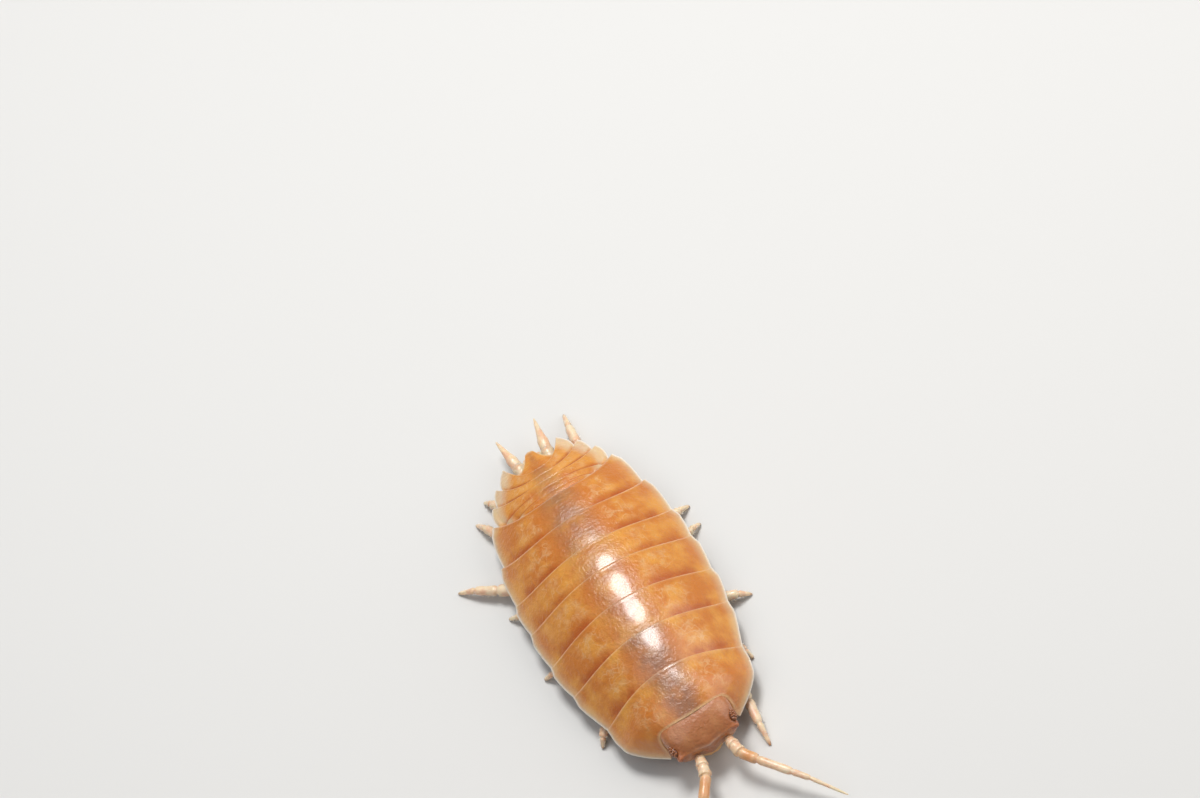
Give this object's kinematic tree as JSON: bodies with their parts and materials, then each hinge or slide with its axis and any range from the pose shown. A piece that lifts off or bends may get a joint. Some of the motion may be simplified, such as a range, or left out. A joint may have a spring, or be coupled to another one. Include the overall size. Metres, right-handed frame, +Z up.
{
  "type": "woodlouse",
  "caption": "Life-size orange woodlouse, walking: smooth lapped back plates with pale see-through edges, a lobed head, long jointed antennae, walking legs and two long tail lances.",
  "frame": {"origin": "on the floor, under the middle of the whole model's box", "axes": "+Y from the head to the tail, +X to the animal's left, +Z up"},
  "size_m": [0.0102, 0.0228, 0.0033],
  "materials": {
    "shell": "smooth glossy orange cuticle with pale see-through edges",
    "head": "satin brownish orange cuticle",
    "limb": "satin pale cream cuticle",
    "flesh": "satin pale orange cuticle",
    "eye": "glossy dark brown facets"
  },
  "bodies": {
    "root": {"pereonite_1": "shell", "pereonite_2": "shell", "pereonite_3": "shell", "pereonite_4": "shell", "pereonite_5": "shell", "pereonite_6": "shell", "pereonite_7": "shell", "pleonite_1": "shell", "pleonite_2": "shell", "pleonite_3": "shell", "pleonite_4": "shell", "pleonite_5": "shell", "telson": "shell", "head": "head", "mouthparts": "flesh", "eye_left": "eye", "eye_right": "eye", "antenna_left_stalk": "limb", "antenna_left_whip": "limb", "antenna_right_stalk": "limb", "antenna_right_whip": "limb", "uropod_left": "limb", "uropod_right": "limb", "leg_left_1": "limb", "leg_left_2": "limb", "leg_left_3": "limb", "leg_left_4": "limb", "leg_left_5": "limb", "leg_left_6": "limb", "leg_left_7": "limb", "leg_right_1": "limb", "leg_right_2": "limb", "leg_right_3": "limb", "leg_right_4": "limb", "leg_right_5": "limb", "leg_right_6": "limb", "leg_right_7": "limb"}
  },
  "joints": []
}
